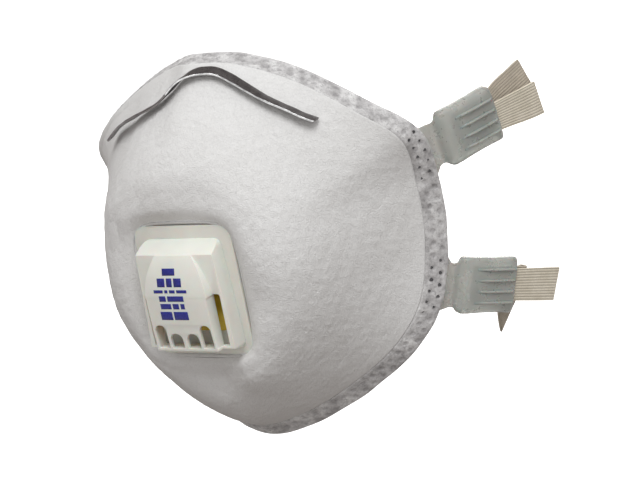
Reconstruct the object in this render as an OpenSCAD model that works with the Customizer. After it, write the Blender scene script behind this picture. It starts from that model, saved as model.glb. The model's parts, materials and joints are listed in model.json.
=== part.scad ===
// Disposable cup dust mask: a layered nonwoven cup with a welded rim, a nose
// clip, a flap exhalation valve and four soft strap buckles.
// Frame: origin at the centre of the face opening, +Z up as worn, -Y away
// from the wearer's face, +X to the right when looking at the valve.

/* [Cup] */
// Width of the flat welded rim band
rim_w = 8; // [6:0.5:9]
// Thickness of the welded rim, where all layers are pressed into one
rim_t = 1.6; // [1.2:0.1:2]
// Thickness of the white cover web on the outside
cover_web_t = 0.8; // [0.6:0.1:1.2]
// Thickness of the particle filter
filter_t = 1; // [0.6:0.1:1.4]
// Thickness of the carbon layer that takes up odours
carbon_t = 0.5; // [0.4:0.1:0.8]
// Thickness of the stiff moulded inner shell
inner_shell_t = 0.9; // [0.7:0.1:1.2]

/* [Exhalation valve] */
// Width of the valve's seat plate
seat_w = 38.6; // [36:0.2:40]
// Height of the valve's seat plate
seat_h = 44; // [42:0.5:46]
// Radius of the port that the breath leaves through
port_r = 11; // [9:0.5:11]
// Depth of the cover box, measured from the web
cover_depth = 8; // [7:0.5:9]
// Height of the domed shield above the cover box
shield_rise = 3.5; // [2:0.5:4]
// Lean of the whole valve, top edge forward, in degrees
valve_lean = 2; // [0:0.5:4]

/* [Nose clip] */
// Width of the soft metal strip
clip_w = 4.4; // [4:0.1:5]
// Thickness of the soft metal strip
clip_t = 0.7; // [0.6:0.1:1]

/* [Buckles and straps] */
// Width of a buckle
buckle_w = 19.5; // [18:0.5:21]
// Length of a buckle's sleeve
buckle_l = 21; // [18:1:23]
// Thickness of a buckle
buckle_t = 6; // [5.8:0.1:6.6]
// Width of the elastic strap
strap_w = 12; // [10:0.5:13]
// Thickness of the elastic strap
strap_t = 1; // [0.8:0.1:1.1]
// Length of strap that stands out of a buckle
strap_out = 17; // [12:1:22]

/* [Hidden] */

eps = 0.01;
layer_gap = 0.12;      // air between two layers of the cup
rim_steps = 3;         // samples between two rim points
cup_rings = 9;         // rings from the seat plate's edge to the crease

// Right half of the rim's edge, from the nose down to the chin.
rim_half = [[0, 0, 67], [13, 6, 65], [32, 10, 57.5], [51, 13, 46], [65.5, 20, 33], [67, 25, 14],
    [66, 25.5, -7], [62, 22, -27], [52, 16, -42], [36, 9, -54], [18, 3.5, -63], [0, 0, -67]];
half_n = len(rim_half);
rim_n = 2 * half_n - 2;

// Valve frame: its origin is on the cup's surface.
valve_at = [0, -27, -5.5];
hole_r = port_r + 2;   // hole through the layers
seat_grip = 2;         // flat web left round the seat plate

function unit(v) = v / norm(v);
function smooth(a, b, x) = let (t = min(1, max(0, (x - a) / (b - a)))) t * t * (3 - 2 * t);

// ---- rim curve: a closed spline through the rim points ----
function rim_point(i) = let (k = (i % rim_n + rim_n) % rim_n)
    k < half_n ? rim_half[k] : [-rim_half[rim_n - k][0], rim_half[rim_n - k][1], rim_half[rim_n - k][2]];
function rim(u) = let (i = floor(u), f = u - i, a = rim_point(i - 1), b = rim_point(i),
        c = rim_point(i + 1), d = rim_point(i + 2))
    b + 0.5 * f * (c - a + f * (2 * a - 5 * b + 4 * c - d + f * (3 * (b - c) + d - a)));
function rim_tangent(u) = unit(rim(u + 0.05) - rim(u - 0.05));
function rim_inward(u) = let (t = rim_tangent(u)) unit([t[2], 0, -t[0]]);
// The flange faces up over the nose and slants outwards at the cheeks.
function flange_angle(u) = 45 + 30 * smooth(15, 50, rim(u)[2]);
function flange_dir(u) = let (a = flange_angle(u)) cos(a) * rim_inward(u) + sin(a) * [0, -1, 0];
function flange_normal(u) = unit(cross(flange_dir(u), rim_tangent(u)));
function crease(u) = rim(u) + rim_w * flange_dir(u);

// ---- cup surface: a curve from the valve to the crease at each rim sample ----
function valve_to_cup(p) = [p[0],
    valve_at[1] + p[1] * cos(valve_lean) - p[2] * sin(valve_lean),
    valve_at[2] + p[1] * sin(valve_lean) + p[2] * cos(valve_lean)];
function seat_edge(a) = let (n = 5, hx = seat_w / 2 + seat_grip, hz = seat_h / 2 + seat_grip)
    pow(pow(abs(cos(a)) / hx, n) + pow(abs(sin(a)) / hz, n), -1 / n);
function cup(u, t) = let (
        q = crease(u),
        a = atan2(q[2] - valve_at[2], q[0]),
        radial = [cos(a), 0, sin(a)],
        p = valve_to_cup(seat_edge(a) * radial),
        p1 = valve_to_cup((39 + 3.5 * sin(a) + 1.6 * cos(2 * a)) * radial)
            + (10 + sin(a) + 4.2 * cos(2 * a)) * [0, -1, 0],
        p2 = [0, -10.5 + 2.6 * sin(a) + 14.2 * cos(2 * a) + 0.5 * sin(3 * a), valve_at[2]]
            + (47 + 4.5 * sin(a) - 1.7 * cos(2 * a) + 1.7 * sin(3 * a)) * radial,
        s = 1 - t)
    s * s * s * p + 3 * s * s * t * p1 + 3 * s * t * t * p2 + t * t * t * q;
function hole_edge(u) = let (q = crease(u), a = atan2(q[2] - valve_at[2], q[0]))
    valve_to_cup(hole_r * [cos(a), 0, sin(a)]);
function cup_normal(u, t) = let (d = 0.02, lo = max(0, t - d), hi = min(1, t + d))
    unit(cross(cup(u + d, t) - cup(u - d, t), cup(u, hi) - cup(u, lo)));
// The layers are pressed thinner towards the crease.
function pressed(t) = 1 - 0.5 * smooth(0.8, 1, t);

// One point at the given depth below the cup's outer surface. Ring 0 is the
// edge of the hole, ring 1 the edge of the flat under the seat plate.
function layer_point(u, ring, rings, depth) = ring == 0
    ? hole_edge(u) + depth * (valve_to_cup([0, 1, 0]) - valve_at)
    : let (t = (ring - 1) / (rings - 1) * 0.99)
        ring == 1 ? cup(u, 0) + depth * (valve_to_cup([0, 1, 0]) - valve_at)
        : cup(u, t) - depth * pressed(t) * cup_normal(u, t);

// Closed solid between two grids of points, each ring closed on itself.
module shell_between(outer, inner) {
    rings = len(outer);
    n = len(outer[0]);
    points = concat([for (r = outer) for (p = r) p], [for (r = inner) for (p = r) p]);
    base = rings * n;
    function id(k, j, side) = side * base + k * n + j % n;
    faces = concat(
        [for (k = [0 : rings - 2], j = [0 : n - 1]) [id(k, j, 0), id(k + 1, j + 1, 0), id(k + 1, j, 0)]],
        [for (k = [0 : rings - 2], j = [0 : n - 1]) [id(k, j, 0), id(k, j + 1, 0), id(k + 1, j + 1, 0)]],
        [for (k = [0 : rings - 2], j = [0 : n - 1]) [id(k, j, 1), id(k + 1, j, 1), id(k + 1, j + 1, 1)]],
        [for (k = [0 : rings - 2], j = [0 : n - 1]) [id(k, j, 1), id(k + 1, j + 1, 1), id(k, j + 1, 1)]],
        [for (j = [0 : n - 1]) [id(0, j, 0), id(0, j + 1, 1), id(0, j + 1, 0)]],
        [for (j = [0 : n - 1]) [id(0, j, 0), id(0, j, 1), id(0, j + 1, 1)]],
        [for (j = [0 : n - 1]) [id(rings - 1, j, 0), id(rings - 1, j + 1, 0), id(rings - 1, j + 1, 1)]],
        [for (j = [0 : n - 1]) [id(rings - 1, j, 0), id(rings - 1, j + 1, 1), id(rings - 1, j, 1)]]);
    polyhedron(points, faces);
}

function layer_grid(depth) = [for (k = [0 : cup_rings])
    [for (j = [0 : rim_n * rim_steps - 1]) layer_point(j / rim_steps, k, cup_rings, depth)]];

module cup_layer(top, thickness)
    shell_between(layer_grid(top), layer_grid(top + thickness));

filter_top = cover_web_t + layer_gap;
carbon_top = filter_top + filter_t + layer_gap;
inner_top = carbon_top + carbon_t + layer_gap;
stack_t = inner_top + inner_shell_t;

module outer_cover_web() color("whitesmoke")
    cup_layer(0, cover_web_t);

module filter_layer() color("white")
    cup_layer(filter_top, filter_t);

module carbon_layer() color("dimgray")
    cup_layer(carbon_top, carbon_t);

module inner_shell() color("gainsboro")
    cup_layer(inner_top, inner_shell_t);

// Flat welded band: its section is swept round the rim curve.
module welded_rim() color("lightgray") {
    edge = 0.4;
    inner = rim_w - 0.15;
    section = [[0, -rim_t / 2], [edge, 0], [inner, 0], [inner, -rim_t], [edge, -rim_t]];
    rings = [for (j = [0 : len(section)]) let (s = section[j % len(section)])
        [for (i = [0 : rim_n * rim_steps - 1]) let (u = i / rim_steps)
            rim(u) + s[0] * flange_dir(u) + s[1] * flange_normal(u)]];
    tube(rings);
}

// Closed ring-shaped solid from section lines that each run round the rim.
module tube(lines) {
    m = len(lines) - 1;
    n = len(lines[0]);
    points = [for (k = [0 : m - 1]) for (p = lines[k]) p];
    function id(k, j) = (k % m) * n + j % n;
    polyhedron(points, concat(
        [for (k = [0 : m - 1], j = [0 : n - 1]) [id(k, j), id(k + 1, j), id(k + 1, j + 1)]],
        [for (k = [0 : m - 1], j = [0 : n - 1]) [id(k, j), id(k + 1, j + 1), id(k, j + 1)]]));
}

// Open strip from rows of four-cornered sections, closed at both ends.
module strip(rows) {
    m = len(rows[0]);
    n = len(rows);
    points = [for (r = rows) for (p = r) p];
    function id(i, k) = i * m + k % m;
    polyhedron(points, concat(
        [for (i = [0 : n - 2], k = [0 : m - 1]) [id(i, k), id(i, k + 1), id(i + 1, k + 1)]],
        [for (i = [0 : n - 2], k = [0 : m - 1]) [id(i, k), id(i + 1, k + 1), id(i + 1, k)]],
        [[for (k = [m - 1 : -1 : 0]) id(0, k)]],
        [[for (k = [0 : m - 1]) id(n - 1, k)]]));
}

// ---- nose clip and nose foam ----
clip_reach = 2.75;     // half length of the clip, counted in rim points
clip_off = 0.35;       // the clip was bent a little to one side of the nose
clip_drop = 0.075;     // and its left half was pressed down lower
function clip_t(u) = let (d = abs(u - clip_off))
    0.945 - 0.095 * smooth(0.2, 1.8, d) + 0.04 * smooth(2.1, 2.9, d) - clip_drop * smooth(0.4, -0.5, u);
// The strip was twisted as it was bent, so its lower edge stands off the web.
function clip_tilt(u) = 42 - 16 * exp(-pow((u + 0.9) / 0.55, 2)) + 6 * smooth(1, 2.5, u)
    - 12 * smooth(-1.8, -2.6, u);
clip_air = 0.35;       // between the strip's upper edge and the web

module nose_clip() color("silver") {
    steps = 44;
    strip([for (i = [0 : steps]) let (
            u = clip_reach * (2 * i / steps - 1), t = clip_t(u), n = cup_normal(u, t),
            up = unit(cup(u, t + 0.02) - cup(u, t - 0.02)), a = clip_tilt(u),
            across = cos(a) * up - sin(a) * n, face = cos(a) * n + sin(a) * up,
            c = cup(u, t) + (clip_air + clip_w / 2 * sin(a)) * n)
        [for (k = [[-1, 1], [1, 1], [1, 0], [-1, 0]])
            c + k[0] * clip_w / 2 * across + k[1] * clip_t * face]]);
}

module nose_foam() color("darkgray") {
    steps = 24;
    reach = 2.3;
    foam_t = 3.5;
    air = 0.4;
    strip([for (i = [0 : steps]) let (u = reach * (2 * i / steps - 1))
        [for (k = [[0.8, 1], [0.95, 1], [0.95, 0], [0.8, 0]])
            cup(u, k[0]) - (stack_t * pressed(k[0]) + air + k[1] * foam_t) * cup_normal(u, k[0])]]);
}

// ---- exhalation valve, in its own frame: -Y outwards, origin on the web ----
module in_valve() translate(valve_at) rotate([valve_lean, 0, 0]) children();
// Extrudes an outline seen from the front, outwards from the given height.
module outwards(from, h) translate([0, -from, 0]) rotate([90, 0, 0]) linear_extrude(h) children();
// Extrudes a side profile, drawn as [y, z], across the given width.
module across(width) translate([-width / 2, 0, 0]) rotate([90, 0, 90]) linear_extrude(width) children();
function arc(c, r, a0, n = 6) = [for (i = [0 : n]) c + r * [cos(a0 + 90 * i / n), sin(a0 + 90 * i / n)]];
// Outline with round corners whose half width goes from w0 at z0 to w1 at z1.
module tapered_plate(w0, w1, z0, z1, r) polygon(concat(
    arc([w1 - r, z1 - r], r, 0), arc([r - w1, z1 - r], r, 90),
    arc([r - w0, z0 + r], r, 180), arc([w0 - r, z0 + r], r, 270)));

seat_t = 1.5;          // thickness of the seat plate
seat_gap = 0.05;       // seat plate off the web
seat_top = seat_gap + seat_t;
ridge_h = 0.8;         // height of the round sealing ridge
collar_wall = 1.2;
flap_t = 0.4;
flap_at = seat_top + ridge_h + 0.05;   // underside of the flap
flap_w = 25;
flap_low = -13.4;      // free edge of the flap
flap_root_z = 12.7;    // line that the flap bends about
wall = 1;              // wall of the valve cover

module valve_seat() color("ivory") in_valve() difference() {
    union() {
        outwards(seat_gap, seat_t) tapered_plate(seat_w / 2, seat_w / 2, -seat_h / 2, seat_h / 2, 4);
        outwards(-stack_t - 0.6, stack_t + 1 + ridge_h + seat_gap + seat_t - 0.4)
            circle(r = port_r + collar_wall, $fn = 64);
        // Pad that the flap's root is clamped on
        outwards(seat_top - eps, ridge_h + eps) translate([-12, flap_root_z + 0.2]) square([24, 2.6]);
    }
    difference() {
        outwards(-stack_t - 2, stack_t + 8) circle(r = port_r, $fn = 64);
        // Cross ribs that keep the flap from being sucked in
        outwards(seat_gap, seat_t) square([2 * port_r + 1, 1.2], center = true);
        outwards(seat_gap, seat_t) square([1.2, 2 * port_r + 1], center = true);
    }
}

module valve_inner_ring() color("ivory") in_valve()
    outwards(-stack_t - 1.4, 1.2) difference() {
        circle(r = 17, $fn = 64);
        circle(r = port_r + collar_wall + 0.1, $fn = 64);
    }

module valve_flap() color("darkgoldenrod") in_valve() outwards(flap_at, flap_t)
    tapered_plate(flap_w / 2, flap_w / 2, flap_low, flap_root_z - 0.2, 2.5);

module flap_root() color("darkgoldenrod") in_valve() outwards(flap_at, flap_t)
    translate([-flap_w / 2, flap_root_z + 0.2]) square([flap_w, 2.6]);

module flap_clamp_bar() color("ivory") in_valve() outwards(flap_at + flap_t + 0.05, 1.2)
    translate([-12, flap_root_z + 0.3]) square([24, 2.2]);

// Side profiles of the cover, as [y, z]: the box and the domed shield on it.
function box_profile(in) = [[0.1 - seat_top - 0.15, 17.8 - in], [-2.2 - in / 2, 17.8 - in],
    [in - cover_depth, 14.3 - 0.8 * in], [in - cover_depth, in - 17.6],
    [0.1 - seat_top - 0.15, in - 19.6]];
// The shield sinks to the box at its top and stays proud at its bottom.
function shield_form(k) = 1 - 0.9 * pow(max(0, k), 2.2) - 0.25 * pow(max(0, -k), 2.2);
function shield_profile(in) = let (top = 14.3 - in, low = in - 17.6)
    concat([[-4, top]],
        [for (i = [0 : 10]) let (z = top + (low - top) * i / 10, k = (z + 2) / 16.3)
            [in - cover_depth - shield_rise * shield_form(k), z]],
        [[-4, low]]);
shield_w = 24.4;       // width of the shield's straight lower part
// Half outline of the shield: straight flanks that round in towards the top.
function shield_edge(in) = concat([[shield_w / 2 - in, -17.6 + in]],
    [for (i = [0 : 8]) let (z = (14.3 - in) * i / 8) [shield_w / 2 - in - 5 * pow(i / 8, 2), z]]);
module shield_outline(in) let (e = shield_edge(in))
    polygon(concat(e, [for (i = [len(e) - 1 : -1 : 0]) [-e[i][0], e[i][1]]]));

module cover_form(in) {
    intersection() {
        across(40) polygon(box_profile(in));
        outwards(0, 20) tapered_plate(16.8 - in, 15.2 - in, in - 19.6, 17.8 - in, 2.4 - in);
    }
    intersection() {
        across(40) polygon(shield_profile(in));
        outwards(0, 20) shield_outline(in);
    }
}

// Breathing slot: straight sides and a top with round corners, cut through the front.
module slot(x0, x1, top, r) outwards(cover_depth - 3, 9) {
    translate([x0, -16.7]) square([x1 - x0, top - r + 16.7]);
    translate([x0 + r, top - 2 * r]) square([x1 - x0 - 2 * r, 2 * r]);
    for (x = [x0 + r, x1 - r]) translate([x, top - r]) circle(r = r, $fn = 32);
}

module valve_cover() color("ivory") in_valve() difference() {
    cover_form(0);
    translate([0, 0.2, 0]) cover_form(wall);
    for (side = [0, 1]) mirror([side, 0, 0]) {
        slot(0.8, 5.8, -11.5, 2.3);
        slot(6.7, 11.1, -8.6, 2);
        slot(11.9, 15.1, 1, 0.9);
    }
}

// ---- strap tabs, buckles and straps ----
// Place along the rim of the upper and the lower buckle, and the way each
// points. The upper left one is bent back at rest.
strap_u = [4.42, 6.7];
right_dir = [[0.5, 0.83, 0.23], [0.5, 0.85, -0.25]];
left_dir = [[0.2, 0.97, 0.12], [0.5, 0.85, -0.25]];
hinge_out = 3;         // hinge line beyond the rim's edge
tab_t = 1;             // thickness of the welded tab
tab_gap = 0.45;        // between the rim and the tab behind it
neck_root = 2.7;       // how far the neck reaches back into the tab
neck_t = 1;            // thickness of the thin bending neck
neck_w = 15;
split = 0.3;           // half of the cut at the bending line
sleeve_x = 2.6;        // start of the sleeve, from the bending line
mouth_x = sleeve_x + buckle_l;
bar_r = 0.9;           // bar that the strap turns round
bar_x = 10.2;
strap_z = bar_r + 0.05;
strap_travel = 5;      // how far a strap end can feed in or out
tail_x = bar_x + strap_travel + 0.6;

// Right-handed frame of a buckle: X out along it, Y up along the rim, Z to the front.
function buckle_frame(side, k) = let (
        d = unit((side > 0 ? right_dir : left_dir)[k]), t = -rim_tangent(strap_u[k]), y = unit(t - (t * d) * d), z = cross(d, y),
        at = rim(strap_u[k]) + hinge_out * d - (rim_t + tab_gap + tab_t / 2) * flange_normal(strap_u[k]))
    [for (i = [0 : 2]) [d[i], y[i], z[i], at[i]]];
// side is 1 for the right and -1 for the left.
module on_side(side) mirror([side < 0 ? 1 : 0, 0, 0]) children();
module in_buckle(side, k) on_side(side) multmatrix(buckle_frame(side, k)) children();

// Tab welded behind the flange, with the root half of the neck.
module tab(side, k) color([0.72, 0.76, 0.72]) {
    half = 0.46;
    steps = 6;
    on_side(side) strip([for (i = [0 : steps]) let (
            u = strap_u[k] + half * (2 * i / steps - 1), d = flange_dir(u), n = flange_normal(u))
        [for (c = [[-1.2, -1], [6.6, -1], [6.6, 0], [-1.2, 0]])
            rim(u) + c[0] * d + (c[1] * tab_t - rim_t - tab_gap) * n]]);
    in_buckle(side, k) translate([-neck_root, -neck_w / 2, -neck_t / 2])
        cube([neck_root - split, neck_w, neck_t]);
}
module upper_right_tab() tab(1, 0);
module upper_left_tab() tab(-1, 0);
module lower_right_tab() tab(1, 1);
module lower_left_tab() tab(-1, 1);

// Melted pins that hold the tabs through the flange, two staggered rows each.
module tab_weld_pins() color("dimgray") {
    pin_r = 0.7;
    pitch = 0.2;
    for (side = [1, -1]) on_side(side) for (k = [0, 1]) for (row = [0, 1]) for (i = [-2 : 2]) {
        u = strap_u[k] + pitch * (i + row / 2 - 0.25);
        d = flange_dir(u);
        n = flange_normal(u);
        y = cross(n, d);
        at = rim(u) + (2.6 + 3.2 * row) * d - (rim_t + tab_gap + tab_t * 0.8) * n;
        multmatrix([for (j = [0 : 2]) [d[j], y[j], n[j], at[j]]])
            cylinder(r = pin_r, h = rim_t + tab_gap + tab_t * 0.8 + 0.3, $fn = 16);
    }
}

module rounded_block(l, w, h, r) translate([0, 0, -h / 2]) linear_extrude(h) {
    translate([r, -w / 2]) square([l - 2 * r, w]);
    translate([0, r - w / 2]) square([l, w - 2 * r]);
    for (x = [r, l - r], y = [r - w / 2, w / 2 - r]) translate([x, y]) circle(r = r, $fn = 24);
}

// Soft sleeve with a bar inside, four grip ribs and the outer half of the neck.
module buckle(side, k) color([0.72, 0.76, 0.72]) in_buckle(side, k) {
    cavity_x = bar_x - strap_z - strap_t - 0.3;
    inner_w = strap_w + 0.8;
    rib_w = 1.1;
    rib_h = 0.7;
    difference() {
        union() {
            translate([split, -neck_w / 2, -neck_t / 2]) cube([sleeve_x + 1, neck_w, neck_t]);
            translate([sleeve_x, 0, 0]) rounded_block(buckle_l, buckle_w, buckle_t, 2);
            for (y = [-5.7, -1.9, 1.9, 5.7])
                translate([bar_x + 1, y - rib_w / 2, buckle_t / 2 - eps])
                    cube([mouth_x - bar_x - 1.6, rib_w, rib_h]);
        }
        translate([cavity_x, -inner_w / 2, 0.9 - buckle_t / 2]) cube([buckle_l, inner_w, buckle_t - 1.8]);
    }
    translate([bar_x, inner_w / 2 + 0.5, 0]) rotate([90, 0, 0]) cylinder(r = bar_r, h = inner_w + 1, $fn = 32);
}
module upper_right_buckle() buckle(1, 0);
module upper_left_buckle() buckle(-1, 0);
module lower_right_buckle() buckle(1, 1);
module lower_left_buckle() buckle(-1, 1);

// Bend of the strap round the bar.
module strap_loop(side, k) color([0.85, 0.82, 0.74]) in_buckle(side, k)
    translate([bar_x, strap_w / 2, 0]) rotate([90, 0, 0]) linear_extrude(strap_w) difference() {
        union() {
            circle(r = strap_z + strap_t, $fn = 40);
            translate([0, -strap_z - strap_t]) square([0.3, 2 * (strap_z + strap_t)]);
        }
        circle(r = strap_z, $fn = 40);
        translate([0, -strap_z]) square([5, 2 * strap_z]);
        translate([0.3, -5]) square([5, 10]);
    }
module upper_right_strap_loop() strap_loop(1, 0);
module upper_left_strap_loop() strap_loop(-1, 0);
module lower_right_strap_loop() strap_loop(1, 1);
module lower_left_strap_loop() strap_loop(-1, 1);

// Cut end of the strap in front of the bar.
module front_strap(side, k) color([0.85, 0.82, 0.74]) in_buckle(side, k)
    translate([tail_x, -strap_w / 2, strap_z]) cube([mouth_x + strap_out - tail_x, strap_w, strap_t]);
module upper_right_front_strap() front_strap(1, 0);
module upper_left_front_strap() front_strap(-1, 0);
module lower_right_front_strap() front_strap(1, 1);
module lower_left_front_strap() front_strap(-1, 1);

// Cut end behind the bar. The upper one fans out, the lower one folds back
// and hangs behind its buckle with a slanting cut.
module rear_strap(side, k) color([0.78, 0.74, 0.66]) in_buckle(side, k) {
    turn_x = mouth_x + strap_travel + strap_t + 0.6;
    translate([tail_x, -strap_w / 2, -strap_z - strap_t]) cube([turn_x - tail_x, strap_w, strap_t]);
    if (k == 0)
        translate([turn_x, -strap_w / 2, -strap_z - strap_t]) rotate([0, 0, 14])
            translate([-1.4, 0, 0]) cube([strap_out - strap_travel + 3, strap_w, strap_t]);
    else {
        back = -buckle_t / 2 - 0.4 - strap_t;
        translate([turn_x - strap_t, -strap_w / 2, back])
            cube([strap_t, strap_w, -strap_z - back]);
        translate([0, 0, back]) linear_extrude(strap_t)
            polygon([[turn_x, 6], [turn_x, -6], [23.5, -9], [20, -18], [14, -7], [20, 6]]);
    }
}
module upper_right_rear_strap() rear_strap(1, 0);
module upper_left_rear_strap() rear_strap(-1, 0);
module lower_right_rear_strap() rear_strap(1, 1);
module lower_left_rear_strap() rear_strap(-1, 1);

outer_cover_web();
filter_layer();
carbon_layer();
inner_shell();
welded_rim();
nose_clip();
nose_foam();
valve_seat();
valve_inner_ring();
valve_cover();
valve_flap();
flap_root();
flap_clamp_bar();
upper_right_tab();
upper_left_tab();
lower_right_tab();
lower_left_tab();
tab_weld_pins();
upper_right_buckle();
upper_left_buckle();
lower_right_buckle();
lower_left_buckle();
upper_right_strap_loop();
upper_left_strap_loop();
lower_right_strap_loop();
lower_left_strap_loop();
upper_right_front_strap();
upper_left_front_strap();
lower_right_front_strap();
lower_left_front_strap();
upper_right_rear_strap();
upper_left_rear_strap();
lower_right_rear_strap();
lower_left_rear_strap();
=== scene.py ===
"""Looks of a moulded cup dust mask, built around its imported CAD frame.

Lengths are in millimetres until a mesh is written, which scales them to metres. The cup, the rim
and the buckles follow the same curves as the CAD part, sampled finely and given their surface detail.
"""
import json
from math import cos, pi, radians, sin, sqrt

import bmesh
import bpy
import numpy as np
from mathutils import Matrix, Vector

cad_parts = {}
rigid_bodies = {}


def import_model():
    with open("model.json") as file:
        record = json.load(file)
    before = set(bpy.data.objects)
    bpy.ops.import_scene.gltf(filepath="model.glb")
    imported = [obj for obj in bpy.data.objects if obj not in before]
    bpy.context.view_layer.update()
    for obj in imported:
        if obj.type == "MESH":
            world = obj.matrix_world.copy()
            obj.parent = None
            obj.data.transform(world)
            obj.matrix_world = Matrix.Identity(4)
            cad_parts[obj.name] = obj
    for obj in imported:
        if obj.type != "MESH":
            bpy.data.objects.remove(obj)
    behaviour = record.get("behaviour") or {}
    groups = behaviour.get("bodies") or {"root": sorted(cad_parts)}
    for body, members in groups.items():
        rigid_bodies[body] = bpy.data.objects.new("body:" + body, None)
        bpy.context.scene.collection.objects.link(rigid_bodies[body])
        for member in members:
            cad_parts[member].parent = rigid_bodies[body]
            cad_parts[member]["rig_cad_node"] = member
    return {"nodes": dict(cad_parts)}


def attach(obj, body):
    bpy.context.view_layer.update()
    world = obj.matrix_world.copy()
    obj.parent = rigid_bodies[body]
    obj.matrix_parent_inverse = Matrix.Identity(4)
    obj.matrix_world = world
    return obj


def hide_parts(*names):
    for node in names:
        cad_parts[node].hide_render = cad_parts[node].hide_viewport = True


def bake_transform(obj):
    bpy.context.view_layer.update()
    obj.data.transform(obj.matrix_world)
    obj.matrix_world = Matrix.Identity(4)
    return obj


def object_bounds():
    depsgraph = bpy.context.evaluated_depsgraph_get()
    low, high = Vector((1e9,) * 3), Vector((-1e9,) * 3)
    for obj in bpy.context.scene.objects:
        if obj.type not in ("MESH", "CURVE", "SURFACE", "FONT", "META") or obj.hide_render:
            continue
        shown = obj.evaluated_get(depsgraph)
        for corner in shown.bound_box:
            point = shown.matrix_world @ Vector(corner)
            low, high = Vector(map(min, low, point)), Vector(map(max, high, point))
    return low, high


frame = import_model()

cad_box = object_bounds()
MM = 0.001
FRONT = np.array([0.0, -1.0, 0.0])
rng = np.random.default_rng(11)

# ---------------------------------------------------------------- sizes, in mm
RIM_W, RIM_T = 8.0, 1.6                 # the welded band
WEB_T = 0.8                             # the outer web
LINING = (2.66, 3.56)                   # depths of the lining's two faces below the web's surface
LIP = 1.6                               # how far the web swells up round the sunk seat plate
SEAT_W, SEAT_H = 38.6, 44.0
SEAT_GRIP = 2.0                         # from the seat plate's edge to where the cup's curve starts
HOLE_R = 13.0                           # the hole through all layers, behind the valve
VALVE_AT = np.array([0.0, -27.0, -5.5])
VALVE_LEAN = radians(2)
FLAP_Y, FLAP_T = -2.6, 0.4              # where the flap lies in the valve, and its thickness
CLIP_W, CLIP_T, CLIP_AIR = 4.4, 0.7, 0.35   # the last is the gap left between strip and web
TAB_T, TAB_GAP = 1.0, 0.45              # a buckle's tab, and the film between it and the band
HINGE_OUT = 3.0                         # from the rim's edge to the line where a buckle bends
SLEEVE_HALF_W, SLEEVE_HALF_T = 9.75, 3.0
BAR_X, MOUTH_X = 10.2, 23.6             # the bar and the mouth of a sleeve, out from that line
STRAP_W, STRAP_T, STRAP_OUT = 12.0, 1.0, 17.0   # the last is how far a cut end stands out
STRAP_MID = 0.95 + STRAP_T / 2          # from a sleeve's middle to the middle of each strap in it
STRAP_TRAVEL = 5.0
FOLD_X = MOUTH_X + STRAP_TRAVEL + STRAP_T - 0.6     # where the lower tail turns back
STRAP_START = BAR_X + 0.3               # where both ends of a strap begin, at the bar
STRAP_U = (4.42, 6.7)                   # places of the upper and the lower buckle round the rim
HEIGHTS = ("upper", "lower")
SIDES = {"right": 1, "left": -1}

# Where each buckle points at rest, by side and height. The upper left one is bent behind the cup.
STRAP_DIR = {1: ((0.5, 0.83, 0.23), (0.5, 0.85, -0.25)),
             -1: ((0.2, 0.97, 0.12), (0.5, 0.85, -0.25))}

# The rim's edge, from over the nose (u = 0) round the right side to the chin (u = 11) and back.
RIM_HALF = [(0, 0, 67), (13, 6, 65), (32, 10, 57.5), (51, 13, 46), (65.5, 20, 33), (67, 25, 14),
            (66, 25.5, -7), (62, 22, -27), (52, 16, -42), (36, 9, -54), (18, 3.5, -63), (0, 0, -67)]
RIM = np.array(RIM_HALF + [(-x, y, z) for x, y, z in RIM_HALF[-2:0:-1]], float)
RIM_N = len(RIM)


# ---------------------------------------------------------------- curves and surfaces
def unit(v):
    return v / np.linalg.norm(v, axis=-1, keepdims=True)


def smooth(a, b, x):
    """A soft step from 0 at a to 1 at b."""
    t = np.clip((x - a) / (b - a), 0, 1)
    return t * t * (3 - 2 * t)


def col(x):
    """Numbers as a column, to multiply points with."""
    return np.asarray(x, float)[..., None]


def rim(u):
    """The rim's edge at u, on a smooth curve through its points."""
    u = np.asarray(u, float)
    i = np.floor(u).astype(int)
    f = col(u - i)
    a, b, c, d = (RIM[(i + k) % RIM_N] for k in (-1, 0, 1, 2))
    return b + 0.5 * f * (c - a + f * (2 * a - 5 * b + 4 * c - d + f * (3 * (b - c) + d - a)))


def rim_tangent(u):
    """The direction of the rim's edge at u."""
    u = np.asarray(u, float)
    return unit(rim(u + 0.05) - rim(u - 0.05))


def flange_dir(u):
    """The direction across the welded band, from the rim's edge to the crease."""
    t = rim_tangent(u)
    inward = unit(np.stack([t[..., 2], 0 * t[..., 0], -t[..., 0]], -1))
    a = np.radians(45 + 30 * smooth(15, 50, rim(u)[..., 2]))
    return col(np.cos(a)) * inward + col(np.sin(a)) * FRONT


def flange_normal(u):
    """The direction out of the welded band's front face."""
    return unit(np.cross(flange_dir(u), rim_tangent(u)))


def crease(u):
    """The line where the cup meets the welded band."""
    return rim(u) + RIM_W * flange_dir(u)


def valve_to_cup(p):
    """A point of the valve's frame, which leans back a little, in the part's frame."""
    p = np.asarray(p, float)
    x, y, z = p[..., 0], p[..., 1], p[..., 2]
    c, s = cos(VALVE_LEAN), sin(VALVE_LEAN)
    return np.stack([x, VALVE_AT[1] + y * c - z * s, VALVE_AT[2] + y * s + z * c], -1)


def valve_angle(u):
    """The direction from the valve's middle to the crease, seen from the front."""
    q = crease(u)
    return np.arctan2(q[..., 2] - VALVE_AT[2], q[..., 0])


def seat_edge(a, grip):
    """How far the line at grip mm round the seat plate is from its middle, in the direction a."""
    hx, hz = SEAT_W / 2 + grip, SEAT_H / 2 + grip
    return ((abs(np.cos(a)) / hx) ** 5 + (abs(np.sin(a)) / hz) ** 5) ** -0.2


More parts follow.
